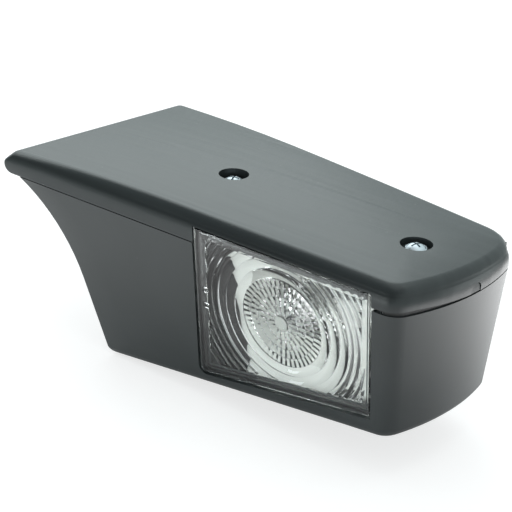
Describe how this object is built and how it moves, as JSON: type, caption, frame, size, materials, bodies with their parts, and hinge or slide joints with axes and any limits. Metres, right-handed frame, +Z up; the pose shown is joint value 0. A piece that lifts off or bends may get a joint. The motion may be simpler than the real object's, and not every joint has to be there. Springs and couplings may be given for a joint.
{
  "type": "roof marker lamp",
  "caption": "Vehicle roof marker lamp: dark moulded housing with a concave roof end, screwed lid and a clear stepped lens over a white reflector and bayonet bulb.",
  "frame": {"origin": "centre of the two roof screw holes, on the outside of the concave roof end", "axes": "+X outward along the lamp's length, +Y from the lens face to the back, +Z up, square to the lid"},
  "size_m": [0.2211, 0.1, 0.0886],
  "materials": {
    "housing_plastic": "moulded charcoal plastic, satin, faint texture",
    "lid_plastic": "moulded charcoal plastic, satin, faint flow and sink marks",
    "clear_lens": "clear moulded plastic with stepped rings and flutes",
    "seal_rubber": "black soft rubber",
    "white_plastic": "white moulded plastic, semi-gloss",
    "zinc_steel": "zinc plated steel",
    "bulb_glass": "clear thin glass",
    "filament_wire": "tungsten wire",
    "cap_brass": "bare brass",
    "black_insulator": "black moulded insulator",
    "solder": "dull solder",
    "plated_sleeve": "bright plated sheet",
    "tinned_brass": "tinned brass sheet",
    "dark_lead": "dark grey insulation",
    "black_lead": "black insulation",
    "natural_nylon": "natural nylon"
  },
  "bodies": {
    "root": {"housing": "housing_plastic", "lid": "lid_plastic", "lid_screws": "zinc_steel", "lid_seal": "seal_rubber", "lens": "clear_lens", "lens_seal": "seal_rubber", "reflector": "white_plastic", "reflector_screws": "zinc_steel", "bulb_glass": "bulb_glass", "bulb_filament": "filament_wire", "bulb_cap": "cap_brass", "bulb_insulator": "black_insulator", "bulb_contact": "solder", "holder_sleeve": "plated_sleeve", "holder_base": "black_insulator", "contact_plunger": "cap_brass", "contact_spring": "zinc_steel", "terminal_live": "cap_brass", "terminal_earth": "cap_brass", "blade_receptacles": "tinned_brass", "lead_live": "dark_lead", "lead_earth": "black_lead", "lead_connector": "natural_nylon", "connector_pins": "cap_brass", "cable_grommet": "seal_rubber"}
  },
  "joints": []
}
